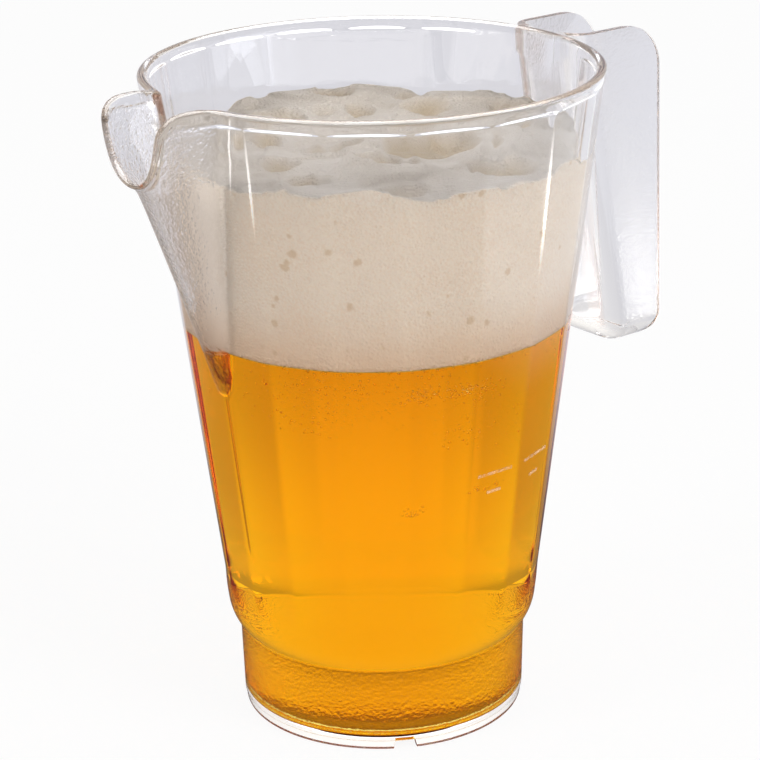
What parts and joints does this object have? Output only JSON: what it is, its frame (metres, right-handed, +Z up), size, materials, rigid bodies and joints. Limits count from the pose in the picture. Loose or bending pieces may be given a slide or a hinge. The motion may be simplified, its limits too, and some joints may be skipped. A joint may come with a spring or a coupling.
{
  "type": "beer pitcher",
  "caption": "Clear fluted plastic beer pitcher with a frosted U-trough spout and an open channel handle, filled with beer under a foam head.",
  "frame": {"origin": "centre of the foot ring, on the surface that the pitcher stands on", "axes": "+Z up along the jug's axis, +X through the handle, -X through the spout"},
  "size_m": [0.1914, 0.138, 0.2039],
  "materials": {
    "clear_plastic": "clear and glossy, with a faint grey-lilac tint and darker edges",
    "frosted_plastic": "the same plastic with a fine frosted mould grain",
    "beer": "clear amber liquid",
    "foam": "cream foam of fine bubbles, with hollows and a few large bubbles"
  },
  "bodies": {
    "root": {"fluted_wall": "clear_plastic", "rim_band": "clear_plastic", "pour_spout": "frosted_plastic", "stacking_shoulder": "clear_plastic", "base_cup": "frosted_plastic", "jug_floor": "clear_plastic", "foot_arc_1": "frosted_plastic", "foot_arc_2": "frosted_plastic", "foot_arc_3": "frosted_plastic", "handle_root": "frosted_plastic", "handle_web": "frosted_plastic", "handle_bend": "frosted_plastic", "handle_bottom": "frosted_plastic", "handle_cheek_left": "frosted_plastic", "handle_cheek_right": "frosted_plastic", "level_marks": "clear_plastic", "beer": "beer", "foam_head": "foam"}
  },
  "joints": []
}
